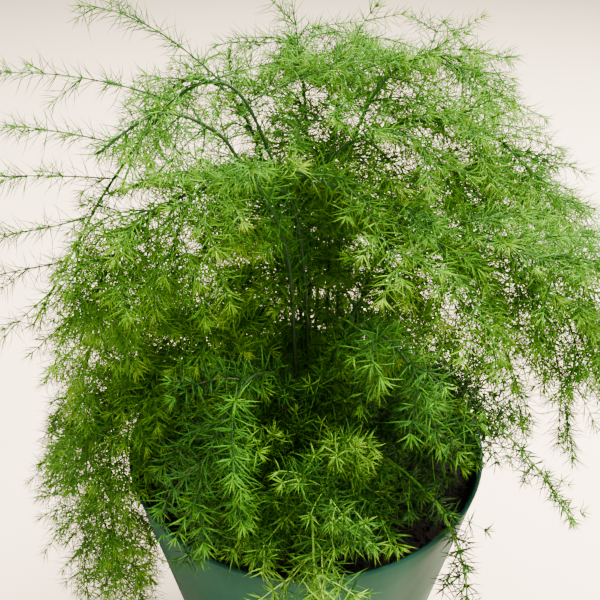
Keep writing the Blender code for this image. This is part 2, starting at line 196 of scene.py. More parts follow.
rough = add_node(tree, "ShaderNodeMapRange", {"Value": mottle.outputs["Fac"], "From Min": 0.3, "From Max": 0.75,
                                              "To Min": 0.45, "To Max": 0.7})
tree.links.new(rough.outputs[0], shader.inputs["Roughness"])
skin = add_node(tree, "ShaderNodeBump", {"Height": grain.outputs["Fac"], "Strength": 0.12, "Distance": 0.1 * MM})
tree.links.new(skin.outputs[0], shader.inputs["Normal"])
dress(pot, plastic, "pot_plastic", "nursery_pot")

# ---------------------------------------------------------------------------- potting soil
# Peat-based potting mix, filled to 9 mm below the rim and settled by watering. The surface is
# loose crumbs of dark peat with a few flakes of bark, white perlite and fallen dry needles.
SOIL_EDGE = POT_HEIGHT - 9 * MM
SOIL_MOUND = 2 * MM
CROWN_RADIUS = 15 * MM
GAP = 0.3 * MM
# Loose bits on the soil
CRUMBS = 2600
BARK_FLAKES = 90
PERLITE_GRAINS = 46
FALLEN_NEEDLES = 420
FALLEN_WIDTH = 0.26 * MM
FALLEN_BOW = 0.12


def soil_top(radius):
    """Height of the settled soil at a distance from the pot's axis."""
    return SOIL_EDGE + SOIL_MOUND * (1 - (radius / inner_radius(SOIL_EDGE)) ** 2)


def roughen(piece, size, depth):
    """Displaces the surface by soft lumps of one size."""
    lumps = bpy.data.textures.new(piece.name + "_lumps", "CLOUDS")
    lumps.noise_scale = size
    lumps.noise_depth = 2
    push = piece.modifiers.new("lumps", "DISPLACE")
    push.texture, push.strength, push.mid_level, push.texture_coords = lumps, depth, 0.5, "GLOBAL"
    bpy.ops.object.modifier_apply(modifier=push.name)


begin()
bpy.ops.mesh.primitive_circle_add(vertices=160, radius=inner_radius(FLOOR) - CHAMFER - GAP, fill_type="NGON",
                                  location=(0, 0, FLOOR + GAP))
soil = bpy.context.object
soil.name = soil.data.name = "soil"
bpy.ops.object.transform_apply()
bpy.ops.object.mode_set(mode="EDIT")
edge = inner_radius(SOIL_EDGE) - GAP
rings = [(inner_radius(FLOOR + CHAMFER) - GAP, FLOOR + CHAMFER + GAP), (edge, SOIL_EDGE - 1.2 * MM)]
for step in range(1, 44):
    radius = edge - step * edge / 45
    rings.append((radius, soil_top(radius) - 0.8 * MM))
pull_rings(rings)
bpy.ops.object.mode_set(mode="OBJECT")
roughen(soil, 3.2 * MM, 1.3 * MM)
bpy.ops.object.shade_smooth()

# Damp peat: nearly black and coarse, with browner crumbs where it has dried.
peat, tree, shader = new_material("damp_peat", IOR=1.4)
place = add_node(tree, "ShaderNodeTexCoord").outputs["Object"]
crumb = add_node(tree, "ShaderNodeTexVoronoi", {"Vector": place, "Scale": 700})
damp = add_node(tree, "ShaderNodeTexNoise", {"Vector": place, "Scale": 160, "Detail": 6})
tone = add_node(tree, "ShaderNodeValToRGB", {"Fac": damp.outputs["Fac"]},
                stops=((0.35, "#070504"), (0.6, "#110C09"), (0.8, "#251B14")))
tree.links.new(tone.outputs[0], shader.inputs["Base Color"])
rough = add_node(tree, "ShaderNodeMapRange", {"Value": damp.outputs["Fac"], "To Min": 0.6, "To Max": 1.0})
tree.links.new(rough.outputs[0], shader.inputs["Roughness"])
relief = add_node(tree, "ShaderNodeBump", {"Height": crumb.outputs["Distance"], "Strength": 0.8,
                                           "Distance": 0.6 * MM})
tree.links.new(relief.outputs[0], shader.inputs["Normal"])
dress(soil, peat, "soil", "potting_soil")


def grainy(name, stops, scale, detail, IOR=1.45, Roughness=0.85, relief=None):
    """A dull material in the tones of stops, and its relief as strength and depth, from one noise."""
    material, tree, shader = new_material(name, IOR=IOR, Roughness=Roughness)
    place = add_node(tree, "ShaderNodeTexCoord").outputs["Object"]
    noise = add_node(tree, "ShaderNodeTexNoise", {"Vector": place, "Scale": scale, "Detail": detail})
    tone = add_node(tree, "ShaderNodeValToRGB", {"Fac": noise.outputs["Fac"]}, stops=stops)
    tree.links.new(tone.outputs[0], shader.inputs["Base Color"])
    if relief:
        bump = add_node(tree, "ShaderNodeBump", {"Height": noise.outputs["Fac"], "Strength": relief[0],
                                                 "Distance": relief[1]})
        tree.links.new(bump.outputs[0], shader.inputs["Normal"])
    return material


def lift(piece):
    """Takes a modelled shape out of the scene as its points and faces, to be copied."""
    points = np.array([v.co for v in piece.data.vertices])
    faces = [tuple(f.vertices) for f in piece.data.polygons]
    bpy.data.objects.remove(piece)
    return points, faces


def broken(offset, seed, cuts=0):
    """Pushes the corners of the newest shape about, and takes it out of the scene to be copied."""
    bpy.ops.object.mode_set(mode="EDIT")
    if cuts:
        bpy.ops.mesh.subdivide(number_cuts=cuts)
    bpy.ops.transform.vertex_random(offset=offset, seed=seed)
    bpy.ops.object.mode_set(mode="OBJECT")
    return lift(bpy.context.object)


def turned_copies(shape, places, sizes, rng, tilt=1.0):
    """Copies a shape to each place, at its own size and turn, as one mesh."""
    points, faces = shape
    turns = rng.normal(size=(len(places), 4)) * (tilt, tilt, 1, 1)
    turns /= np.linalg.norm(turns, axis=1)[:, None]
    x, y, z, w = turns.T
    spin = np.stack([1 - 2 * (y * y + z * z), 2 * (x * y - z * w), 2 * (x * z + y * w),
                     2 * (x * y + z * w), 1 - 2 * (x * x + z * z), 2 * (y * z - x * w),
                     2 * (x * z - y * w), 2 * (y * z + x * w), 1 - 2 * (x * x + y * y)], 1).reshape(-1, 3, 3)
    shaped = np.einsum("nij,nkj->nki", spin, points[None] * sizes[:, None, :]) + places[:, None, :]
    return shaped.reshape(-1, 3), repeated(faces, len(points), len(places))


def repeated(faces, step, count):
    """The faces of one shape, again for each of its copies."""
    return [tuple(v + n * step for v in face) for n in range(count) for face in faces]


def as_piece(name, points, faces):
    """A new object from points and faces, in place."""
    mesh = bpy.data.meshes.new(name)
    mesh.from_pydata(points.tolist(), [], faces)
    piece = bpy.data.objects.new(name, mesh)
    bpy.context.scene.collection.objects.link(piece)
    return piece


surface = np.array([v.co for v in soil.data.vertices])
surface = surface[surface[:, 2] > SOIL_EDGE - 4 * MM]


def on_soil(count, rng, inner=0.0, outer=edge):
    """Places spread over the soil, on its lumps."""
    radius = np.sqrt(rng.uniform(inner ** 2, (outer - 1.5 * MM) ** 2, count))
    turn = rng.uniform(0, 2 * math.pi, count)
    flat = np.stack([radius * np.cos(turn), radius * np.sin(turn)], 1)
    nearest = [int(np.argmin(((surface[:, :2] - spot) ** 2).sum(1))) for spot in flat]
    return np.column_stack([flat, surface[nearest, 2]])


begin()
bpy.ops.mesh.primitive_ico_sphere_add(subdivisions=1, radius=1)
shape = broken(0.28, seed=4)
rng = np.random.default_rng(11)
spots = on_soil(CRUMBS, rng)
sizes = rng.uniform(0.35, 1.0, (CRUMBS, 1)) ** 1.6 * 1.5 * MM * rng.uniform(0.6, 1.1, (CRUMBS, 3))
crumbs = as_piece("soil_crumbs", *turned_copies(shape, spots, sizes, rng))
dress(crumbs, peat, "soil")

begin()
bpy.ops.mesh.primitive_cube_add(size=2)
shape = broken(0.25, seed=7, cuts=1)
spots = on_soil(BARK_FLAKES, rng, CROWN_RADIUS) + (0, 0, 0.3 * MM)
sizes = rng.uniform(0.5, 1.2, (BARK_FLAKES, 1)) * (1.9 * MM, 1.1 * MM, 0.35 * MM)
flakes = as_piece("bark_flakes", *turned_copies(shape, spots, sizes, rng, 0.25))
# Composted bark: brown, fibrous, split along the grain.
bark = grainy("composted_bark", ((0.3, "#140C08"), (0.55, "#2E1D12"), (0.8, "#4E3824")), 420, 6,
              relief=(0.6, 0.3 * MM))
dress(flakes, bark, "soil")

begin()
bpy.ops.mesh.primitive_ico_sphere_add(subdivisions=2, radius=1)
shape = broken(0.12, seed=2)
spots = on_soil(PERLITE_GRAINS, rng, CROWN_RADIUS) + (0, 0, 0.3 * MM)
sizes = rng.uniform(0.45, 1.0, (PERLITE_GRAINS, 1)) * (1.0 * MM) * rng.uniform(0.8, 1.1, (PERLITE_GRAINS, 3))
grains = as_piece("perlite_grains", *turned_copies(shape, spots, sizes, rng))
# Perlite: popped volcanic glass, off-white and chalky, stained by the peat.
perlite = grainy("stained_perlite", ((0.35, "#3E342B"), (0.6, "#7C7368")), 900, 4, IOR=1.5, Roughness=0.9)
dress(grains, perlite, "soil")

begin()
bpy.ops.mesh.primitive_cone_add(vertices=3, radius1=0.5, radius2=0.1, depth=2)
bpy.ops.object.mode_set(mode="EDIT")
bpy.ops.mesh.subdivide(number_cuts=1)
bpy.ops.object.mode_set(mode="OBJECT")
points, faces = lift(bpy.context.object)
spots = on_soil(FALLEN_NEEDLES, rng, CROWN_RADIUS) + (0, 0, 0.5 * MM)
turn = rng.uniform(0, 2 * math.pi, FALLEN_NEEDLES)[:, None]
length = rng.uniform(1.8, 4.2, FALLEN_NEEDLES)[:, None] * MM
along, across = length * points[:, 2], FALLEN_WIDTH * points[:, 0]
up = FALLEN_WIDTH * points[:, 1] + FALLEN_BOW * length * points[:, 2] ** 2
lying = np.stack([along * np.cos(turn) - across * np.sin(turn), along * np.sin(turn) + across * np.cos(turn), up], 2)
lying += spots[:, None]
litter = as_piece("fallen_needles", lying.reshape(-1, 3), repeated(faces, len(points), FALLEN_NEEDLES))
# Fallen needles: bleached straw, dry and dull.
straw = grainy("dry_needles", ((0.35, "#3C2A16"), (0.55, "#6E5630"), (0.75, "#8E7A4C")), 200, 2)
dress(litter, straw, "soil")

# ---------------------------------------------------------------------------- woody crown
# The plant's crown is a low knob of old wood, half buried. Every cane springs from it, between
# the cut stubs of canes taken off in earlier years.
CROWN_PROUD = 4 * MM
STUBS = 22
begin()
bpy.ops.mesh.primitive_uv_sphere_add(segments=48, ring_count=24, radius=1, location=(0, 0, soil_top(CROWN_RADIUS)))
crown = bpy.context.object
crown.name = crown.data.name = "crown_wood"
bpy.ops.transform.resize(value=(CROWN_RADIUS, CROWN_RADIUS, CROWN_PROUD + 1 * MM))
bpy.ops.object.transform_apply()
roughen(crown, 2.5 * MM, 1.4 * MM)
bpy.ops.object.shade_smooth()
# Old crown wood: fibrous and grey-brown.
wood = grainy("crown_wood", ((0.3, "#181109"), (0.55, "#3A2E19"), (0.8, "#5C4F2F")), 260, 7,
              relief=(0.7, 0.5 * MM))
dress(crown, wood, "crown", "woody_crown")

begin()
bpy.ops.mesh.primitive_cylinder_add(vertices=8, radius=1, depth=1, location=(0, 0, 0.5))
stub_shape = bpy.context.object
bpy.ops.object.transform_apply()
bpy.ops.object.mode_set(mode="EDIT")
bpy.ops.mesh.select_all(action="DESELECT")
bpy.ops.object.mode_set(mode="OBJECT")
for face in stub_shape.data.polygons:
    face.select = face.normal.z > 0.9
bpy.ops.object.mode_set(mode="EDIT")
bpy.ops.mesh.inset(thickness=0.3)
bpy.ops.transform.translate(value=(0, 0, -0.12))
bpy.ops.object.mode_set(mode="OBJECT")
stub_shape = lift(stub_shape)
rng = np.random.default_rng(5)
turn = rng.uniform(0, 2 * math.pi, STUBS)
out = rng.uniform(3, 14, STUBS) * MM
foot = soil_top(0) + CROWN_PROUD * (1 - (out / CROWN_RADIUS) ** 2) - 1.5 * MM
spots = np.column_stack([out * np.cos(turn), out * np.sin(turn), foot])
sizes = np.column_stack([rng.uniform(0.7, 1.0, STUBS) * MM] * 2 + [rng.uniform(3, 8, STUBS) * MM])
stubs = as_piece("cane_stubs", *turned_copies(stub_shape, spots, sizes, rng, 0.12))
dress(stubs, wood, "crown")

# ---------------------------------------------------------------------------- tall canes
# Wiry green canes, each one growth of the living plant. They carry whorls of needle-like green
# cladodes at their nodes, and side branches with twigs of the same needles.
STEM_DATUM = 9 * MM  # the heights of stems are measured from this far below the rim
# Each cane: where its foot stands in millimetres, its heading in degrees, and the stops of its
# arch in millimetres, as reach from the foot and height over the datum
CANES = {
    "cane_left_arch": ((-1, 2), 185, (
        (0, 40), (3, 85), (9, 109), (18, 128), (32, 127), (53, 103), (66, 83), (82, 58))),
    "cane_right_low_arch": ((-2, -2), 347, ((-2, 60), (-6, 95), (-5, 106), (3, 105), (34, 95), (66, 89), (90, 84))),
    "cane_right_arch": ((2, 4), 8, (
        (-2, 50), (-5, 85), (-3, 101), (5, 108), (14, 113), (28, 117), (50, 112), (68, 96))),
    "cane_right_high": ((9, 7), 36, ((1, 50), (2, 85), (5, 110), (16, 126), (34, 130), (52, 122), (66, 105))),
    "cane_left_mid": ((1, -1), 195, ((1, 60), (4, 92), (10, 103), (22, 105), (37, 102), (55, 88), (68, 62))),
    "cane_front_left": ((-3, -6), 222, ((1, 50), (3, 82), (9, 100), (17, 113), (25, 125), (40, 133), (56, 128))),
    "cane_back_right": ((7, 11), 72, ((0, 50), (1, 85), (3, 112), (13, 129), (30, 131), (48, 120))),
    "cane_back": ((1, 10), 100, ((0, 60), (4, 100), (14, 126), (32, 130), (52, 118))),
    "cane_back_left": ((-6, 8), 140, ((1, 60), (7, 98), (20, 119), (38, 121), (56, 108), (70, 86))),
    "cane_left_low": ((-9, 3), 172, ((4, 38), (13, 61), (24, 74), (41, 71), (55, 57), (66, 32), (76, 3), (92, -32))),
    "cane_left_hanging": ((-7, -4), 186, (
        (4, 32), (14, 52), (28, 57), (44, 46), (54, 24), (60, 0), (63, -34), (64, -62))),
    "cane_right_mid": ((6, -3), 350, ((3, 45), (14, 72), (34, 82), (56, 78), (74, 64), (84, 45))),
    "cane_right_back": ((12, 2), 24, ((3, 48), (14, 82), (36, 97), (60, 92), (80, 76), (90, 55))),
    "cane_front_right": ((4, -8), 308, ((2, 30), (8, 56), (22, 70), (38, 66), (50, 48))),
    "cane_front_low": ((-3, -11), 238, ((2, 28), (9, 48), (24, 58), (40, 50), (52, 34))),
    "cane_back_low": ((3, 14), 82, ((3, 40), (16, 70), (38, 76), (58, 56), (70, 22))),
}
# Side branches with a place of their own: share of the way along, heading and rise in degrees,
# length in millimetres, and the share of it that the tip droops by
PLACED = {
    "cane_left_arch": (
        (0.535, 24, 22, 94, 0.46), (0.570, 150, 35, 56, 0.32), (0.595, 48, 2, 78, 0.13), (0.635, 178, 20, 48, 0.20),
        (0.670, 265, 6, 28, 0.25), (0.710, 178, 16, 40, 0.12), (0.755, 178, 4, 40, 0.08), (0.785, 40, 0, 26, 0.20),
        (0.815, 178, -20, 34, -0.14), (0.850, 276, -16, 24, 0.20), (0.890, 178, -13, 28, 0.00),
        (0.940, 210, -30, 20, 0.10)),
    "cane_right_low_arch": (
        (0.570, 80, 20, 32, 0.30), (0.615, 290, 0, 30, 0.35), (0.660, 30, 24, 38, 0.30), (0.700, 310, -20, 36, 0.40),
        (0.735, 20, 10, 36, 0.25), (0.770, 350, -62, 56, 0.30), (0.815, 15, 4, 36, 0.30), (0.860, 345, -66, 60, 0.25),
        (0.895, 20, 2, 30, 0.25), (0.930, 350, -60, 60, 0.25), (0.970, 335, -40, 40, 0.40)),
}


def smooth_line(stops, spacing=1.2 * MM):
    """Even points along a smooth curve through stops."""
    stops = np.array(stops, float)
    ends = np.vstack((2 * stops[0] - stops[1], stops, 2 * stops[-1] - stops[-2]))
    t = np.linspace(0, 1, 9)[1:, None]
    runs = [stops[:1]]
    for a, b, c, d in zip(ends, ends[1:], ends[2:], ends[3:]):
        square, cube = 2 * a - 5 * b + 4 * c - d, 3 * b - a - 3 * c + d
        runs.append(0.5 * (2 * b + (c - a) * t + square * t ** 2 + cube * t ** 3))
    points = np.vstack(runs)
    far = np.concatenate(([0], np.cumsum(np.linalg.norm(np.diff(points, axis=0), axis=1))))
    even = np.linspace(0, far[-1], max(4, round(far[-1] / spacing)) + 1)
    return np.column_stack([np.interp(even, far, points[:, k]) for k in range(3)])


def unit(vectors):
    return vectors / np.maximum(np.linalg.norm(vectors, axis=-1, keepdims=True), 1e-12)


def heading_vector(heading, rise):
    heading, rise = math.radians(heading), math.radians(rise)
    return np.array((math.cos(rise) * math.cos(heading), math.cos(rise) * math.sin(heading), math.sin(rise)))


def stem_line(foot, heading, arch):
    """The line of one cane or shoot, from its row of the table."""
    x, y = foot[0] * MM, foot[1] * MM
    radius = math.hypot(x, y)
    start = soil_top(radius)
    if radius < CROWN_RADIUS:
        start = max(start, soil_top(0) + CROWN_PROUD * math.sqrt(1 - (radius / CROWN_RADIUS) ** 2))
    along = heading_vector(heading, 0)
    stops = [(x, y, start - 1 * MM)]
    for reach, height in arch:
        stops.append((x + reach * MM * along[0], y + reach * MM * along[1], POT_HEIGHT - STEM_DATUM + height * MM))
    return smooth_line(stops)


def side_line(start, direction, length, droop, bend=0.0, across=None):
    """The line of one side branch, straight at first, then drooping or bending."""
    t = np.linspace(0, 1, max(4, round(length / (1.4 * MM)) + 1))[:, None]
    line = start + length * (t * direction - droop * t ** 2 * np.array((0, 0, 1)))
    if across is not None:
        line = line + length * bend * t ** 2 * across
    return line


# One cladode: a three-sided needle, thickest below the middle and slightly bowed. It stands on the
# origin, one unit tall and about one unit thick, and is scaled to size where it is copied.
begin()
bpy.ops.mesh.primitive_cone_add(vertices=3, radius1=0.42, radius2=0, depth=1, location=(0, 0, 0.5))
needle = bpy.context.object
bpy.ops.object.transform_apply()
bpy.ops.object.mode_set(mode="EDIT")
bpy.ops.mesh.select_all(action="SELECT")
bpy.ops.mesh.bisect(plane_co=(0, 0, 0.5), plane_no=(0, 0, 1))
bpy.ops.object.mode_set(mode="OBJECT")
for vert in needle.data.vertices:
    vert.select = 0.4 < vert.co.z < 0.6
bpy.ops.object.mode_set(mode="EDIT")
bpy.ops.transform.resize(value=(2.3, 2.3, 1), center_override=(0, 0, 0.5))
bpy.ops.object.mode_set(mode="OBJECT")
NEEDLE, NEEDLE_FACES = lift(needle)
NEEDLE_BOW = 4 * NEEDLE[:, 2] * (1 - NEEDLE[:, 2])

# Bands of the colour chart, each from a height and over a height: wood below the split, needles above
WOOD_BAND = (0.06, 0.22)
BAND_SPLIT = 0.35
NEEDLE_BAND = (0.42, 0.54)
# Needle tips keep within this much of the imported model's own box
ROOM_LOW = np.array(cad_low) - (5 * MM, 6 * MM, 6 * MM)
ROOM_HIGH = np.array(cad_high) + (7 * MM, 5 * MM, 8 * MM)


def in_pot(points):
    """True where a point would lie in the pot's wall or under the soil."""
    out, height = np.hypot(points[:, 0], points[:, 1]), points[:, 2]
    within = (height < POT_HEIGHT) & (out < outer_radius(height) + GAP)
    return within & ((out > inner_radius(height) - GAP) | (height < SOIL_EDGE))


class Growth:
    """All that one stem has grown: tubes of green wood, and needles."""

    def __init__(self, seed):
        self.rng = np.random.default_rng(seed)
        self.tubes = []
        self.needles = []

    def tube(self, line, thick, thin, sides, tint, nodes=()):
        """Green wood along a line, swollen and paler at its nodes. tint runs from old (0) to new (1)."""
        share = np.linspace(0, 1, len(line))
        radius = thick + (thin - thick) * share
        pale = np.full(len(line), tint)
        for node in nodes:
            near = np.exp(-(((share - node) * (len(line) - 1)) ** 2) / 0.7)
            radius = radius * (1 + 0.35 * near)
            pale = pale + 0.18 * near
        self.tubes.append((line, radius, sides, pale))

    def whorl(self, place, along, count, length, lean, width, tint, flat=1.0):
        """A ring of needles at a node. lean is the angle from the stem in degrees."""
        rng = self.rng
        across = unit(np.cross(along, (0.1, 0.05, 1.0)))
        over = np.cross(across, along)
        turn = 2 * math.pi * (np.arange(count) + rng.uniform(0, 1)) / count + rng.normal(0, 0.22, count)
        angle = np.radians(lean + rng.normal(0, 14, count))[:, None]
        ring = np.cos(turn)[:, None] * across + flat * np.sin(turn)[:, None] * over
        direction = unit(np.cos(angle) * along + np.sin(angle) * ring)
        size = length * rng.uniform(0.66, 1.1, count)
        self.needles.append(np.column_stack([
            np.repeat(place[None], count, 0), direction, size, np.full(count, width),
            np.clip(tint + rng.normal(0, 0.07, count), 0, 1)]))

    def branch(self, line, thick, sides, spacing, count, length, lean, width, tint, flat=1.0, start=0.1,
               twig=None, brush=1.0, every=1):
        """A branch along a line: wood, whorls of count needles that lean by so many degrees, twigs.

        flat squeezes the whorls, start is the bare share of the line, twig holds the arguments of its
        twigs, brush is how much paler the tip grows, and every is how many nodes apart the twigs stand.
        """
        rng = self.rng
        tint += rng.normal(0, 0.07)
        steps = np.linalg.norm(np.diff(line, axis=0), axis=1)
        far = np.concatenate(([0], np.cumsum(steps)))
        total = far[-1]
        spot, shares = start * total, []
        while spot < total:
            shares.append(spot / total)
            spot += spacing * (1.15 - 0.5 * spot / total) * rng.uniform(0.85, 1.15)
        shares.append(1.0)
        self.tube(line, thick, thick * 0.45, sides, tint - 0.1, shares[:-1])
        tangents = unit(np.gradient(line, axis=0))
        hand = rng.choice((-1, 1))
        for node, share in enumerate(shares):
            place = np.array([np.interp(share * total, far, line[:, k]) for k in range(3)])
            along = tangents[min(len(line) - 1, round(share * (len(line) - 1)))]
            tip = max(0.0, (share - 0.72) / 0.28)
            self.whorl(place, along, max(3, round(count * rng.uniform(0.8, 1.2) * (1 - 0.2 * tip))),
                       length * (1 - 0.4 * tip ** 2), lean * (1 - 0.35 * tip), width,
                       tint + 0.25 * tip ** 2 * brush, flat)
            if twig and share < 0.93 and node % every == 0:
                hand = -hand
                self.twig(place, along, hand, share, tint, flat, **twig)

    def twig(self, place, along, hand, share, tint, flat, reach, spacing, count, length, width, droop, roll=22,
             spread=60, nest=None):
        """A side twig of a branch, to its left or right. nest holds the arguments of its own twigs."""
        rng = self.rng
        across = unit(np.cross(along, (0.1, 0.05, 1.0)))
        over = np.cross(across, along)
        turn = math.radians(rng.normal(0, roll))
        side = hand * math.cos(turn) * across + math.sin(turn) * over
        lean = math.radians(rng.uniform(38, 62))
        direction = math.cos(lean) * along + math.sin(lean) * side
        size = reach * (0.35 + 0.65 * math.sin(math.pi * (0.18 + 0.8 * share) ** 0.9)) * rng.uniform(0.7, 1.15)
        line = side_line(place, direction, size, droop, rng.uniform(0.05, 0.2), along)
        if in_pot(line).any():
            return
        self.branch(line, thick=0.2 * MM, sides=3, spacing=spacing, count=count, length=length, lean=spread,
                    width=width, tint=tint + 0.05, flat=flat, start=0.22, twig=nest, brush=0.8)

    def build(self, name, material, slot):
        """Everything grown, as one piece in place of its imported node."""
        points, faces, chart = [], [], []
        total = 0
        for line, radius, sides, pale in self.tubes:
            tangent = unit(np.gradient(line, axis=0))
            across = np.empty_like(tangent)
            aside = (0.3, 0.2, 1.0) if abs(tangent[0][2]) < 0.9 else (1.0, 0.2, 0.1)
            across[0] = unit(np.cross(tangent[0], aside))
            for k in range(1, len(line)):
                across[k] = unit(across[k - 1] - tangent[k] * across[k - 1].dot(tangent[k]))
            over = np.cross(tangent, across)
            turn = 2 * math.pi * np.arange(sides) / sides
            ring = np.cos(turn)[None, :, None] * across[:, None] + np.sin(turn)[None, :, None] * over[:, None]
            tube = line[:, None] + radius[:, None, None] * ring
            points.append(tube.reshape(-1, 3))
            u = np.clip(pale[:, None] + 0.006 * (np.arange(sides)[None, :] - sides / 2), 0.01, 0.99)
            v = np.broadcast_to(WOOD_BAND[0] + WOOD_BAND[1] * np.linspace(0, 1, len(line))[:, None], u.shape)
            chart.append(np.stack([u, v], -1).reshape(-1, 2))
            for k in range(len(line) - 1):
                low, high = total + k * sides, total + (k + 1) * sides
                for s in range(sides):
                    n = (s + 1) % sides
                    faces.append((low + s, low + n, high + n, high + s))
            faces.append(tuple(total + s for s in reversed(range(sides))))
            faces.append(tuple(total + (len(line) - 1) * sides + s for s in range(sides)))
            total += len(line) * sides
        rows = np.vstack(self.needles)
        tips = rows[:, :3] + rows[:, 3:6] * rows[:, 6:7]
        rows = rows[((tips > ROOM_LOW) & (tips < ROOM_HIGH)).all(1) & ~in_pot(tips) & ~in_pot(rows)]
        root, direction, size, width, tint = rows[:, :3], rows[:, 3:6], rows[:, 6], rows[:, 7], rows[:, 8]
        rng = self.rng
        across = unit(np.cross(direction, unit(rng.normal(size=(len(rows), 3)))))
        over = np.cross(direction, across)
        bow = rng.uniform(-0.09, 0.09, len(rows)) * size
        sag = np.array((0, 0, -1)) * (0.05 * size)[:, None]
        local = NEEDLE[None] * np.stack([width, width, size], 1)[:, None]
        local[:, :, 0] += NEEDLE_BOW[None] * bow[:, None]
        placed = (root[:, None] + local[:, :, :1] * across[:, None] + local[:, :, 1:2] * over[:, None]
                  + local[:, :, 2:] * direction[:, None] + (NEEDLE[:, 2] ** 2)[None, :, None] * sag[:, None])
        count = len(NEEDLE)
        points.append(placed.reshape(-1, 3))
        u = np.clip(tint[:, None] + 0.012 * (NEEDLE[None, :, 0] + 0.3 * NEEDLE[None, :, 1]), 0.01, 0.99)
        up = NEEDLE_BAND[0] + NEEDLE_BAND[1] * NEEDLE[None, :, 2]
        v = np.broadcast_to(up + 0.01 * NEEDLE[None, :, 1], u.shape)
        chart.append(np.stack([u, v], -1).reshape(-1, 2))
        base = np.array([face for face in NEEDLE_FACES if len(face) == 3])
        quads = np.array([face for face in NEEDLE_FACES if len(face) == 4])
        offsets = total + count * np.arange(len(rows))[:, None, None]
        faces += (offsets + base[None]).reshape(-1, 3).tolist()
        faces += (offsets + quads[None]).reshape(-1, 4).tolist()
        points, chart = np.vstack(points), np.vstack(chart)
        piece = as_piece(name, points, faces)
        piece.data.shade_smooth()
        corners = np.empty(len(piece.data.loops), np.int32)
        piece.data.loops.foreach_get("vertex_index", corners)
        layer = piece.data.uv_layers.new(name="OFBake")
        layer.uv.foreach_set("vector", chart[corners].astype(np.float32).ravel())
        dress(piece, material, slot, name.removesuffix("_growth"))
        return piece


def green_growth(name, wood, needles, roughness):
    """Living green tissue. Its chart runs from old to new across, and from wood to needle tip upwards."""
    material, tree, shader = new_material(name, IOR=1.42, Specular_IOR_Level=0.2)
    chart = add_node(tree, "ShaderNodeUVMap", uv_map="OFBake")
    split = add_node(tree, "ShaderNodeSeparateXYZ", {"Vector": chart.outputs[0]})
    age, height = split.outputs[0], split.outputs[1]
    stem = add_node(tree, "ShaderNodeValToRGB", {"Fac": age}, stops=wood)
    leaf = add_node(tree, "ShaderNodeValToRGB", {"Fac": age}, stops=needles)
    tip = add_node(tree, "ShaderNodeMapRange", {"Value": height, "From Min": 0.8, "From Max": 0.97, "To Max": 0.35})
    tipped = add_node(tree, "ShaderNodeMix", {"Factor": tip.outputs[0], 6: leaf.outputs[0], 7: srgb("#6E9416")},
                      data_type="RGBA")
    is_leaf = add_node(tree, "ShaderNodeMath", {0: height, 1: BAND_SPLIT}, operation="GREATER_THAN")
    tone = add_node(tree, "ShaderNodeMix", {"Factor": is_leaf.outputs[0], 6: stem.outputs[0], 7: tipped.outputs[2]},
                    data_type="RGBA")
    tree.links.new(tone.outputs[2], shader.inputs["Base Color"])
    rough = add_node(tree, "ShaderNodeMapRange", {"Value": height, "To Min": roughness, "To Max": roughness + 0.15})
    tree.links.new(rough.outputs[0], shader.inputs["Roughness"])
    return material


# Mature growth: waxy dark green wood, grass-green needles that pale towards their tips.
mature = green_growth("mature_green_cladodes",
                      ((0.0, "#33381A"), (0.2, "#0B2E0A"), (0.6, "#1C4E0A"), (1.0, "#5C8C24")),
                      ((0.0, "#0F3A04"), (0.3, "#256006"), (0.6, "#4C8808"), (0.85, "#729E0C"), (1.0, "#92B21A")), 0.55)

# How each cane is clothed where it differs from the rest: side branches, the bare share of the
# cane below them, their length in millimetres, the share of it that they droop by, the length of
# their twigs in millimetres, and how many nodes apart the twigs stand
USUAL = (26, 0.34, 25, 0.30, 16, 2)
GOLDEN_ANGLE = 137.5
CLOTHING = {
    "cane_left_arch": (0, 0, 0, 0, 8, 3),
    "cane_left_low": (46, 0.10, 20, 0.75, 13, 2),
    "cane_left_hanging": (66, 0.10, 30, 0.60, 14, 2),
    "cane_left_mid": (64, 0.16, 26, 0.50, 16, 2),
    "cane_front_left": (14, 0.34, 16, 0.30, 10, 3),
    "cane_right_high": (32, 0.30, 25, 0.36, 16, 2),
    "cane_right_low_arch": (32, 0.34, 22, 0.44, 15, 2),
    "cane_right_arch": (46, 0.24, 26, 0.52, 17, 2),
    "cane_right_mid": (56, 0.18, 23, 0.60, 15, 2),
    "cane_right_back": (48, 0.22, 22, 0.60, 15, 2),
    "cane_back_left": (38, 0.14, 20, 0.34, 14, 2),
    "cane_back_low": (26, 0.22, 30, 0.22, 17, 2),
}
# Canes low at the front, dressed like the young shoots: few side branches, long open needles
OPEN = {"cane_front_low": (20, 0.20, 27, 0.55), "cane_front_right": (14, 0.24, 20, 0.30)}
# Nothing grows out over the front of the bundle of canes, which shows bare between these corners
BARE_LOW, BARE_HIGH = np.array((-18, -80, 128)) * MM, np.array((14, 9, 206)) * MM


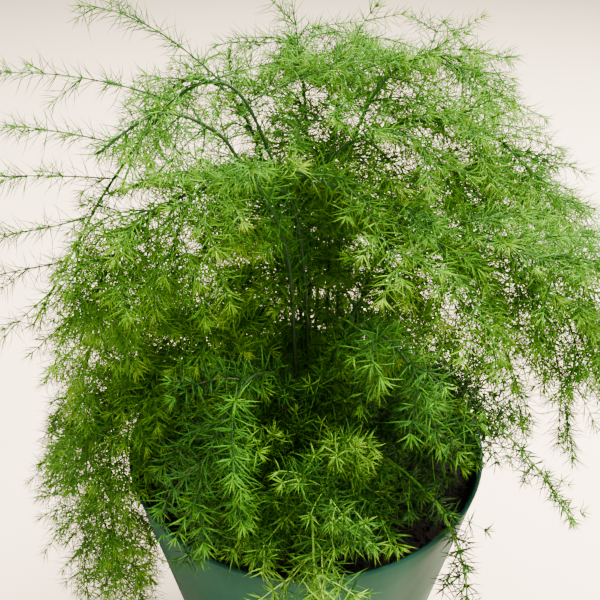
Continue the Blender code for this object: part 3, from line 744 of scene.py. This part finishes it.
def side_rows(name, line, count, bare, length, droop):
    """Start, direction, length and droop of each side branch of a cane."""
    for share, heading, rise, reach, sag in PLACED.get(name, ()):
        yield line[round(share * (len(line) - 1))], heading_vector(heading, rise), reach * MM, sag
    tangents = unit(np.gradient(line, axis=0))
    for node in range(count):
        share = bare + (0.95 - bare) * node / (count - 1)
        k = round(share * (len(line) - 1))
        along = tangents[k]
        across = np.array(Vector(along).orthogonal().normalized())
        winding = math.radians(GOLDEN_ANGLE * node + len(name) * 40)
        out = math.cos(winding) * across + math.sin(winding) * np.cross(along, across)
        lean = math.radians(52)
        if math.hypot(*line[k][:2]) < CROWN_RADIUS:
            # the canes stand close here: their branches grow to the sides and the back, most to the left
            out, lean = heading_vector(-25 + 230 * ((0.618 * node + 0.1 * len(name)) % 1), 10), math.radians(75)
            if node % 2 and out[0] > -0.25:
                continue
        reach = length * MM * (0.42 + 0.58 * math.sin(math.pi * (0.3 + 0.7 * node / (count - 1))))
        direction = math.cos(lean) * along + math.sin(lean) * out
        end = line[k] + reach * (direction - (0, 0, droop))
        if ((end > BARE_LOW) & (end < BARE_HIGH)).all() or in_pot(side_line(line[k], direction, reach, droop)).any():
            continue
        yield line[k], direction, reach, droop


for seed, (name, (foot, heading, arch)) in enumerate(CANES.items()):
    grown = Growth(seed)
    line = stem_line(foot, heading, arch)
    if name in OPEN:
        count, bare, reach, droop = OPEN[name]
        grown.branch(line, thick=0.6 * MM, sides=6, spacing=5.2 * MM, count=8, length=9 * MM, lean=72,
                     width=0.42 * MM, tint=0.15, start=bare)
        for start, direction, length, sag in side_rows(name, line, count, bare, reach, droop):
            side = smooth_line(side_line(start, direction, length, sag))
            twig = dict(reach=11 * MM, spacing=4 * MM, count=6, length=7.5 * MM, width=0.38 * MM, droop=0.1, roll=60)
            grown.branch(side, thick=0.26 * MM, sides=4, spacing=4.4 * MM, count=8, length=8.5 * MM, lean=70,
                         width=0.4 * MM, tint=0.22, start=0.1, twig=twig, every=3)
        grown.build(name + "_growth", mature, "cane_foliage")
        continue
    count, bare, reach, droop, twig_reach, apart = CLOTHING.get(name, USUAL)
    grown.branch(line, thick=0.66 * MM, sides=6, spacing=6 * MM, count=7, length=9 * MM, lean=66,
                 width=0.27 * MM, tint=0.30, start=max(0.38, bare))
    twig = dict(reach=twig_reach * MM, spacing=2.9 * MM, count=7, length=7.4 * MM, width=0.25 * MM, droop=0.15)
    for start, direction, length, sag in side_rows(name, line, count, bare, reach, droop):
        side = smooth_line(side_line(start, direction, length, sag))
        grown.branch(side, thick=0.22 * MM, sides=4, spacing=3.5 * MM, count=7, length=8.4 * MM, lean=62,
                     width=0.27 * MM, tint=0.45, flat=0.8, start=0.06, twig=twig, every=apart)
    grown.build(name + "_growth", mature, "cane_foliage")

# ---------------------------------------------------------------------------- young shoots
# Short new shoots that lean low over the soil and the rim. They are softer than the canes, with
# bright wood, pale nodes, stars of longer needles and a tight pale tuft at each tip.
SHOOTS = {
    "shoot_left_rim": ((-12, -3), 184, ((6, 16), (22, 24), (42, 14))),
    "shoot_left_over_rim": ((-12, 4), 180, ((6, 28), (26, 40), (46, 34), (58, 18))),
    "shoot_front_left_rim": ((-9, -12), 241, ((6, 20), (22, 28), (42, 20))),
    "shoot_front_left_near": ((-5, -15), 250, ((5, 16), (20, 24), (38, 16))),
    "shoot_right_soil": ((12, -5), 340, ((6, 16), (22, 20), (40, 12))),
    "shoot_right_low": ((9, -9), 322, ((5, 12), (18, 18), (34, 10))),
    "shoot_front_right_low": ((5, -14), 300, ((5, 14), (20, 20), (42, 12))),
    "shoot_right_rim": ((14, 0), 357, ((6, 22), (22, 27), (42, 16))),
    "shoot_front_over_rim": ((0, -16), 272, ((5, 22), (22, 30), (42, 25), (56, 12))),
    "shoot_front_soil": ((-2, -20), 262, ((3, 20), (13, 29), (30, 24))),
    "shoot_front_right_rim": ((3, -18), 284, ((4, 12), (16, 20), (36, 16))),
    "shoot_left_upright": ((-14, 8), 168, ((4, 24), (16, 44), (36, 44))),
    "shoot_right_over_rim": ((15, 5), 4, ((8, 24), (28, 28), (46, 18), (56, 4))),
    "shoot_right_trailing": ((13, -2), 352, ((6, 20), (26, 27), (48, 21), (66, 2), (82, -22))),
    "shoot_front_right_trailing": ((8, -12), 312, ((5, 18), (22, 26), (44, 22), (56, 4), (61, -26))),
    "shoot_front_upright": ((-6, -8), 212, ((4, 26), (14, 42), (30, 42))),
    "shoot_back_rim": ((6, 17), 70, ((6, 22), (24, 30), (42, 16))),
    "shoot_front_left_soil": ((-10, -9), 226, ((6, 14), (20, 20), (36, 15))),
    "shoot_front_middle": ((3, -13), 277, ((3, 18), (13, 26), (28, 22))),
    "shoot_back_left": ((-9, 12), 132, ((6, 26), (22, 36), (40, 28))),
    "shoot_back_right": ((11, 12), 44, ((6, 24), (22, 34), (40, 26))),
}
# Shoots at the right, with few twigs, between which the soil shows
SPARSE = ("shoot_right_soil", "shoot_right_low", "shoot_front_right_low", "shoot_front_right_rim")
# Shoots whose long twigs hang down round the rim
LUSH = ("shoot_left_rim", "shoot_left_over_rim", "shoot_front_left_rim", "shoot_front_left_soil", "shoot_back_right",
        "shoot_right_over_rim")
# Young growth: bright green wood, and needles darkened to a deep green as painted shade of the canopy over these low
# shoots; they turn yellow-green in the tufts.
young = green_growth("young_cladodes_painted_shade",
                     ((0.0, "#245A08"), (0.5, "#4E8812"), (1.0, "#A6CC4E")),
                     ((0.0, "#041A02"), (0.35, "#0D3402"), (0.7, "#235C04"), (1.0, "#74AC1E")), 0.5)
for seed, (name, (foot, heading, arch)) in enumerate(SHOOTS.items()):
    grown = Growth(100 + seed)
    line = stem_line(foot, heading, arch)
    trailing = name.endswith("trailing")
    nest = dict(reach=10 * MM, spacing=4.2 * MM, count=6, length=7.5 * MM, width=0.38 * MM, droop=0.1, roll=80,
                spread=72)
    if trailing or name in SPARSE:
        nest = None
    reach = 12 if trailing else 15 if name in SPARSE else 30 if name in LUSH else 25
    twig = dict(reach=reach * MM, spacing=4.6 * MM, count=7, length=(6 if trailing else 8.5) * MM,
                width=0.4 * MM, droop=0.45 if name in LUSH else 0.1, roll=80, spread=72, nest=nest)
    grown.branch(line, thick=0.5 * MM, sides=5, spacing=5.0 * MM, count=9, length=(7 if trailing else 10) * MM,
                 lean=74, width=0.42 * MM, tint=0.4, start=0.15, twig=twig, brush=2.0)
    grown.build(name + "_growth", young, "young_foliage")

# ---------------------------------------------------------------------------- studio
# A plain pale floor, a soft key light high on the right, a second from above the back, a weak one
# low at the front and the light of a pale room. The camera looks down over the front of the pot.
begin()
bpy.ops.mesh.primitive_plane_add(size=8)
floor = bpy.context.object
floor.name = floor.data.name = "floor"
card = new_material("pale_card", Base_Color=srgb("#F3E0CA"), Roughness=0.9)[0]
floor.data.materials.append(card)

WARM_WHITE = (1.0, 0.92, 0.80)
MIDDLE = Vector((0, 0, 0.12))
for name, place, size, power in (("key", (0.5, 0.3, 0.9), 0.5, 68),
                                 ("front", (0.55, -0.75, 0.45), 0.7, 11),
                                 ("top", (-0.15, 0.45, 1.15), 0.8, 44)):
    lamp = bpy.data.lights.new(name, "AREA")
    lamp.energy, lamp.size, lamp.color = power, size, WARM_WHITE
    light = bpy.data.objects.new(name, lamp)
    light.location = place
    light.rotation_euler = (MIDDLE - Vector(place)).to_track_quat("-Z", "Y").to_euler()
    bpy.context.scene.collection.objects.link(light)
world = bpy.data.worlds.new("pale room")
world.use_nodes = True
background = world.node_tree.nodes["Background"]
background.inputs["Color"].default_value = srgb("#F6ECDF")
background.inputs["Strength"].default_value = 0.85
bpy.context.scene.world = world

camera = bpy.data.objects.new("camera", bpy.data.cameras.new("camera"))
camera.location = (-0.002, -0.192, 0.286)
camera.rotation_euler = (math.radians(57), 0, 0)
camera.data.lens = 45
camera.data.clip_start = 0.01
bpy.context.scene.collection.objects.link(camera)
bpy.context.scene.camera = camera
